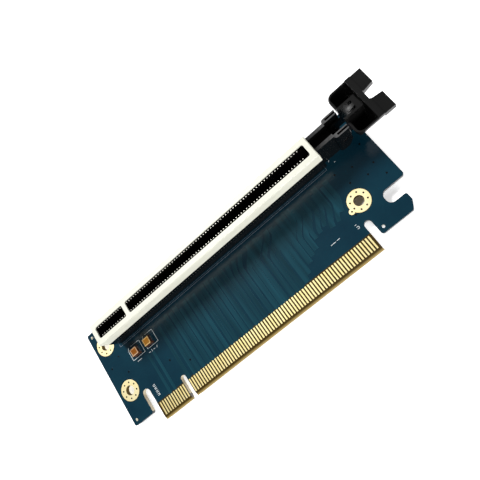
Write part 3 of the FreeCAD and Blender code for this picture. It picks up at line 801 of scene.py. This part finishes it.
def bent_place(tree, given, x, y, draws):
    """Where a point of a straight band goes, from its own place and the band's three draws."""
    # Along Y, from the band's lower end to its upper one.
    dive = add(tree, RANGE, inputs={0: x, **DIVE_SPAN, 4: given["Dive"]})
    ragged = add(tree, RANGE, inputs={0: x, **RAGGED_SPAN, 4: RAGGED})
    lower = add(tree, MATH, "MULTIPLY_ADD", {0: draws[1], 1: ragged, 2: dive})
    lower = add(tree, MATH, "ADD", {0: lower, 1: given["From Y"]})
    upper = add(tree, MATH, "MULTIPLY_ADD", {0: draws[2], 1: END_WANDER, 2: given["To Y"]})
    along = add(tree, RANGE, inputs={0: y, 1: 0.0, 2: 1.0, 3: lower, 4: upper})

    # Sideways, by the jog that begins at the bend.
    jog = add(tree, RANGE, inputs={0: x, **JOG_SPAN, 4: given["Drift"]})
    less = add(tree, RANGE, inputs={0: x, **LESSEN_SPAN, 3: 1.0, 4: LEAST_JOG})
    jog = add(tree, MATH, "MULTIPLY", {0: jog, 1: less})
    bend = add(tree, RANGE, inputs={0: x, **BEND_SPAN, 3: BEND_FROM, 4: BEND_TO})
    bend = add(tree, MATH, "MULTIPLY_ADD", {0: draws[1], 1: BEND_WANDER, 2: bend})
    above = add(tree, MATH, "SUBTRACT", {0: along, 1: bend})
    shift = add(tree, RANGE, {"interpolation_type": "SMOOTHSTEP"},
                {0: above, 1: 0.0, 2: JOG_LENGTH, 4: jog})
    across = add(tree, MATH, "MULTIPLY_ADD", {0: draws[0], 1: NUDGE, 2: x})
    across = add(tree, MATH, "ADD", {0: across, 1: shift})
    layer = add(tree, MATH, "MULTIPLY_ADD", {0: draws[1], 1: LAYER, 2: given["Height"]})
    return add(tree, COMBINE, inputs={0: across, 1: along, 2: layer})


print("a jog is", round(JOG_LENGTH / MM, 1), "mm long")

# %% [markdown]
# Each band has three random draws by its number in the row, which comes from its straight place. So
# its breadth is set before it is bent.

# %% The tree that draws a band for each pair of tracks
SEED, BAND_POINTS = 5, 41


def track_tree():
    """No start shape: one bent strip per pair of fingers."""
    tree, given = group("Tracks from the fingers", ["Count"], [
        "Start", "Pitch", "From Y", "To Y", "Height", "Width", "Thickness", "Drift", "Dive", "Uneven"])
    line, _, run = row_of_points(tree, given)
    spot = add(tree, COMBINE, inputs={0: run})
    dots = add(tree, MOVE, inputs={"Geometry": line, "Position": spot})
    path = add(tree, "GeometryNodeCurvePrimitiveLine", inputs={"End": (0, 1, 0)})
    path = add(tree, "GeometryNodeResampleCurve", inputs={"Curve": path, "Count": BAND_POINTS})
    copies = add(tree, ON_POINTS, inputs={"Points": dots, "Instance": path})
    bands = add(tree, "GeometryNodeRealizeInstances", inputs={0: copies})

    x, y = add(tree, SPLIT, inputs={0: add(tree, "GeometryNodeInputPosition")}).outputs[:2]
    number = add(tree, MATH, "SUBTRACT", {0: x, 1: given["Start"]})
    number = add(tree, MATH, "DIVIDE", {0: number, 1: given["Pitch"]})
    number = add(tree, MATH, "ROUND", {0: number})
    draws = add(tree, "FunctionNodeRandomValue", {"data_type": "FLOAT_VECTOR"},
                {0: (-1, -1, -1), 1: (1, 1, 1), "ID": number, "Seed": SEED})
    draws = add(tree, VECTOR, "SCALE", {0: draws, "Scale": given["Uneven"]})
    draws = add(tree, SPLIT, inputs={0: draws}).outputs

    breadth = add(tree, RANGE, inputs={0: draws[2], 1: -1.0, 2: 1.0, 3: NARROWEST, 4: BROADEST})
    bands = add(tree, "GeometryNodeSetCurveRadius", inputs={"Curve": bands, "Radius": breadth})
    bent = add(tree, MOVE, inputs={"Geometry": bands, "Position": bent_place(tree, given, x, y, draws)})
    section = add(tree, "GeometryNodeCurvePrimitiveQuadrilateral",
                  inputs={"Width": given["Width"], "Height": given["Thickness"]})
    radius = add(tree, "GeometryNodeInputRadius")
    strip = add(tree, "GeometryNodeCurveToMesh",
                inputs={"Curve": bent, "Profile Curve": section, "Scale": radius, "Fill Caps": True})
    return complete(tree, strip, given)


from_fingers = track_tree()

# %% [markdown]
# The tree runs four times. On each face most bands start past the key, and a few before it: on the
# front only two of those are seen, short and narrow, and on the back all five go straight up.

# %% Tracks on both faces
after_key = finger_start + BEFORE_KEY * PITCH + finger_gap
strips = {"pitch": 2 * PITCH, "width": 1.55 * MM, "thickness": 0.036 * MM,
          "from_y": fingers_high.y - 0.1 * MM}
past_key = dict(strips, count=(FINGERS - BEFORE_KEY) // 2, start=after_key + PITCH / 2)
straight = dict(strips, drift=0.0, dive=0.0)
back_to = slot_y - outer_reach - 1.2 * MM
runs = {
    "tracks_front": dict(
        past_key, height=face_z, to_y=26.2 * MM, drift=5.0 * MM, dive=9.5 * MM, uneven=1.0),
    "tracks_front_few": dict(
        straight, height=face_z, to_y=20.8 * MM, count=2, start=finger_start + 5 * PITCH,
        width=1.1 * MM, uneven=0.4),
    "tracks_back": dict(
        past_key, height=back_z, to_y=back_to, drift=3.0 * MM, dive=0.0, uneven=0.6),
    "tracks_back_few": dict(
        straight, height=back_z, to_y=back_to, count=BEFORE_KEY // 2, start=finger_start + PITCH / 2,
        uneven=0.0)}
blank = bpy.data.meshes.new("blank")
for name, run in runs.items():
    seat(grown(from_fingers, name, blank, track_finish, smooth=30.0, **run), "card")

# %% [markdown]
# ## Vias
# Small plated holes join the two faces. Most are filled over with mask, so all that shows is a
# slightly dished dark spot, and the same holes ring each mounting pad, eight to a pad, where they
# tie it to the ground layer. A short round plug stands for each, set on points by a small tree.

# %% The tree that sets a round plug on every point
def plug_tree():
    """Points in, one short round plug on each out."""
    tree, given = group("Plugs on points", ["Sides"], ["Radius", "Thickness"])
    plug = add(tree, "GeometryNodeMeshCylinder",
               inputs={"Vertices": given["Sides"], "Radius": given["Radius"], "Depth": given["Thickness"]})
    copies = add(tree, ON_POINTS, inputs={"Points": given["Geometry"], "Instance": plug})
    return complete(tree, copies, given)


on_points = plug_tree()

# %% [markdown]
# The mounting pads are round and centred on their rings' boxes, but for the right one, whose ring
# has a tab to its left. So its centre is a pad's radius in from the right, and one more small hole
# stands on its tab. Places and radii are in mm.

# %% Where the vias are
PAD_RADIUS, PAD_VIAS, PAD_VIA_CIRCLE = 3.5, 8, 2.6
TAB_VIA_REACH, TAB_VIA_TURN = 3.7, 200.0


def around(centre, radius, degrees):
    """The place at a radius and a turn about a centre."""
    turn = math.radians(degrees)
    return centre[0] + radius * math.cos(turn), centre[1] + radius * math.sin(turn)


via_places = [(75.7, 25.7), (82.8, 19.4), (86.8, 16.3), (77.5, 20.8), (86.1, 21.1), (-21.1, 24.4),
              (-16.0, 20.0), (-0.9, 14.2), (5.3, 10.2), (86.7, 27.9), (80.9, 24.1), (72.9, 12.6),
              (-16.6, 26.4)]
pad_places = []
for corner in ("lower_left", "upper_left", "right"):
    low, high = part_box("mounting_ring_" + corner)
    middle_x = high.x / MM - PAD_RADIUS if corner == "right" else (low.x + high.x) / 2 / MM
    pad_places.append((middle_x, (low.y + high.y) / 2 / MM))
pad_copper = high.z
pad_vias = [around(centre, PAD_VIA_CIRCLE, 360 / PAD_VIAS * (k + 0.5))
            for centre in pad_places for k in range(PAD_VIAS)]
pad_vias.append(around(pad_places[-1], TAB_VIA_REACH, TAB_VIA_TURN))
print(len(via_places), "vias in the board,", len(pad_vias), "in the pads")

# %% [markdown]
# The mask stops just short of each pad, and the gap shows as a thin line around the gold, painted nearly
# black as painted shade.

# %% Mask edges and plugs on both faces
RING_STEPS = 48
MASK_RADIUS = 3.66
EDGE_HALF = 0.03 * MM


def mask_edges(z):
    """A thin flat ring about each pad at a height, closed all round."""
    low, high = z - EDGE_HALF, z + EDGE_HALF
    section = ((PAD_RADIUS, low), (MASK_RADIUS, low), (MASK_RADIUS, high), (PAD_RADIUS, high))
    points, faces = [], []
    for centre in pad_places:
        first = len(points)
        for radius, height in section:
            for k in range(RING_STEPS):
                x, y = around(centre, radius, 360 * k / RING_STEPS)
                points.append((x * MM, y * MM, height))
        for ring in range(4):
            here, there = first + ring * RING_STEPS, first + (ring + 1) % 4 * RING_STEPS
            for k in range(RING_STEPS):
                after = (k + 1) % RING_STEPS
                faces.append((here + k, there + k, there + after, here + after))
    mesh = edited(mesh_of("mask edges", points, faces), outward)
    mesh.materials.append(painted_shade_finish)
    return smooth_by_angle(mesh)


for side, z in (("front", face_z), ("back", back_z)):
    seat(linked("mask_edges_" + side, mask_edges(z)), "card")
# The holes in the pads are thin discs painted nearly black, as painted shade.
for side, z, pad_z in (("front", face_z, pad_copper), ("back", back_z, back_z - pad_copper)):
    for name, places, height, material, slot, plug in (
            ("via_lands_", via_places, z, board_finish, "board",
             {"radius": 0.42 * MM, "thickness": 0.05 * MM, "sides": 16}),
            ("via_spots_", via_places, z, plug_finish, "board",
             {"radius": 0.3 * MM, "thickness": 0.07 * MM, "sides": 12}),
            ("pad_vias_", pad_vias, pad_z, painted_shade_finish, "pad_gold",
             {"radius": 0.28 * MM, "thickness": 0.02 * MM, "sides": 14})):
        points = mesh_of("points", [(x * MM, y * MM, height) for x, y in places], [])
        seat(grown(on_points, name + side, points, material, smooth=CREASE, **plug), "card")

# %% [markdown]
# ## White ink
# The legend is a thin layer of ink: the slot's outline, a box around each capacitor, and a few small
# marks. Only plain ticks and bars are drawn, with no words. Each stroke is a thin closed strip, given
# by its two ends in mm.

# %% Ink strokes on the component face
INK_HALF = 0.03 * MM
STRIP_FACES = ((0, 3, 2, 1), (4, 5, 6, 7), (0, 1, 5, 4), (1, 2, 6, 5), (2, 3, 7, 6), (3, 0, 4, 7))


def inked(name, strokes, material, width_mm):
    """Thin closed strips along straight strokes, each (x0, y0, x1, y1) in mm."""
    points, faces = [], []
    for x0, y0, x1, y1 in strokes:
        along = Vector((x1 - x0, y1 - y0)).normalized() * width_mm / 2
        across = Vector((-along.y, along.x))
        start, end = Vector((x0, y0)) - along, Vector((x1, y1)) + along
        first = len(points)
        for z in (face_z - INK_HALF, face_z + INK_HALF):
            points += [(*corner * MM, z)
                       for corner in (start + across, start - across, end - across, end + across)]
        faces += [tuple(first + k for k in quad) for quad in STRIP_FACES]
    mesh = mesh_of(name, points, faces)
    mesh.materials.append(material)
    seat(linked(name, mesh), "card")
    print(name, len(strokes), "strokes")


bottom = base_low.y / MM - 0.95
left, right = base_low.x / MM - 0.85, shell_high.x / MM - 0.85
turn_up = 0.9
outline = [(left, bottom, right, bottom)]
outline += [(x, bottom, x, bottom + turn_up) for x in (left, right)]
inner_line = [(left + 1.2, bottom + 0.5, right - 0.6, bottom + 0.5)]
# The outline's ink is painted darker, as painted shade beside the slot.
inked("ink_slot_outline", outline, shaded_ink_finish, width_mm=0.12)
inked("ink_slot_inner_line", inner_line, shaded_ink_finish, width_mm=0.06)

# %% [markdown]
# A capacitor's box has a gap in its top line, and its top left corner is cut off.

# %% Ink round the capacitors, and small marks
box_low, box_high = 21.8, 26.3
top_from, cut_x, cut_y = 1.6, 0.6, 0.9
boxes = []
for left, right in ((-12.3, -6.9), (-5.6, -0.8)):
    boxes += [(left, box_low, right, box_low), (right, box_low, right, box_high),
              (right, box_high, left + top_from, box_high), (left, box_low, left, box_high - cut_y),
              (left, box_high - cut_y, left + cut_x, box_high)]
inked("ink_capacitor_boxes", boxes, ink_finish, width_mm=0.15)

ticks = [(-11.0, 20.7, -9.3, 20.7), (-5.9, 20.5, -5.2, 20.5), (-4.5, 20.2, -4.5, 20.9),
         (-3.7, 20.5, -3.2, 20.5), (-2.4, 20.3, -2.0, 20.9), (70.7, 10.3, 71.1, 10.3),
         (70.8, 9.6, 71.4, 9.6), (70.8, 9.0, 71.4, 9.0), (71.4, 9.6, 71.4, 9.0),
         (62.0, 10.1, 63.6, 10.15), (64.2, 10.2, 65.1, 10.25), (76.9, 30.0, 77.2, 30.3),
         (78.1, 28.8, 78.4, 28.8)]
mark_left, mark_right, mark_high = -10.8, -10.0, 0.5
mark_top, mark_pitch, mark_step = 11.3, 1.05, 0.2
for row in range(4):
    y, x = mark_top - mark_pitch * row, mark_left + mark_step * row
    ticks += [(mark_left, y, mark_right, y), (mark_left, y - mark_high, mark_right, y - mark_high),
              (x, y, x, y - mark_high)]
inked("ink_marks", ticks, ink_finish, width_mm=0.14)

# %% [markdown]
# ## Floor, light and camera
# The card lies on its solder side, so the floor is just under the lowest tail. The floor is white
# paper that also glows a little to the camera, so that it reads as white while it still takes the
# card's shadow. Under the right mounting pad the glow is taken away: a painted shadow that darkens
# the floor seen through that hole.

# %% The floor
FLOOR_BELOW, FLOOR_HALF = 0.05 * MM, 3.0
GLOW, GLOW_FROM, GLOW_FULL = 0.6, 5.0, 6.5
floor_z = cad_low[2] - FLOOR_BELOW
floor_material, tree, shader = finish(
    "White card floor", roughness=0.9, base_color="#F4F4F4", emission_color="#FFFFFF")
rays = add(tree, "ShaderNodeLightPath").outputs
seen = add(tree, MATH, "MAXIMUM", {0: rays["Is Camera Ray"], 1: rays["Is Glossy Ray"]})
seen = add(tree, MATH, "MAXIMUM", {0: seen, 1: rays["Is Transmission Ray"]})
glow = add(tree, MATH, "MULTIPLY", {0: seen, 1: GLOW})
# Painted shadow: the glow fades out near the right mounting pad.
painted_shadow_centre = (*pad_places[-1], floor_z / MM)
away = add(tree, VECTOR, "DISTANCE", {0: object_place(tree), 1: painted_shadow_centre})
away = add(tree, RANGE, inputs={0: away, 1: GLOW_FROM, 2: GLOW_FULL})
glow = add(tree, MATH, "MULTIPLY", {0: glow, 1: away})
join(tree, glow, shader.inputs["Emission Strength"])
corners = [(x * FLOOR_HALF, y * FLOOR_HALF, floor_z) for x, y in ((-1, -1), (1, -1), (1, 1), (-1, 1))]
floor_mesh = mesh_of("floor", corners, [(0, 1, 2, 3)])
floor_mesh.materials.append(floor_material)
linked("floor", floor_mesh)
print("floor at", round(floor_z / MM, 2), "mm")

# %% [markdown]
# A big soft lamp from above the card's top edge throws the slot's shadow down the board, and a weak
# one fills from the front. The world looks white to the camera and lights the card only faintly.

# %% The world and the lamps
SKY_LIGHT = 0.13
CARD_MIDDLE = Vector((0.0375, 0.02, 0.0))
world = bpy.data.worlds.new("studio")
bpy.context.scene.world = world
world.use_nodes = True
tree = world.node_tree
sky = tree.nodes["Background"]
join(tree, "#FFFFFF", sky.inputs["Color"])
rays = add(tree, "ShaderNodeLightPath").outputs
seen = add(tree, MATH, "MAXIMUM", {0: rays["Is Camera Ray"], 1: rays["Is Transmission Ray"]})
level = add(tree, RANGE, inputs={0: seen, 3: SKY_LIGHT, 4: 1.0})
join(tree, level, sky.inputs["Strength"])


def lamp(name, place, size, power):
    """A square soft lamp that looks at the card's middle."""
    light = bpy.data.lights.new(name, "AREA")
    light.shape = "SQUARE"
    light.size = size
    light.energy = power
    made = linked(name, light)
    made.location = place
    made.rotation_euler = (CARD_MIDDLE - Vector(place)).to_track_quat("-Z", "Y").to_euler()
    print(name, power, "W")


lamp("key lamp", place=(-0.13, 0.449, 0.489), size=0.18, power=5.5)
lamp("fill lamp", place=(0.158, -0.52, 0.216), size=0.40, power=4.2)

# %% [markdown]
# The camera looks down on the card from over its gold edge, turned askew. Two directions say how it
# is held: its own right, and its own up.

# %% The camera
camera_data = bpy.data.cameras.new("camera")
camera_data.lens = 33.96
camera_data.clip_start = 0.005
camera_data.clip_end = 20.0
camera = linked("camera", camera_data)
view_right = Vector((0.73975, -0.56290, -0.36866))
view_up = Vector((0.63742, 0.76174, 0.11597))
camera.location = (0.07168, -0.01569, 0.13023)
camera.rotation_euler = Matrix((view_right, view_up, view_right.cross(view_up))).transposed().to_euler()
bpy.context.scene.camera = camera
bpy.context.scene.view_settings.view_transform = "Standard"
print("camera at", [round(v / MM, 1) for v in camera.location], "mm")
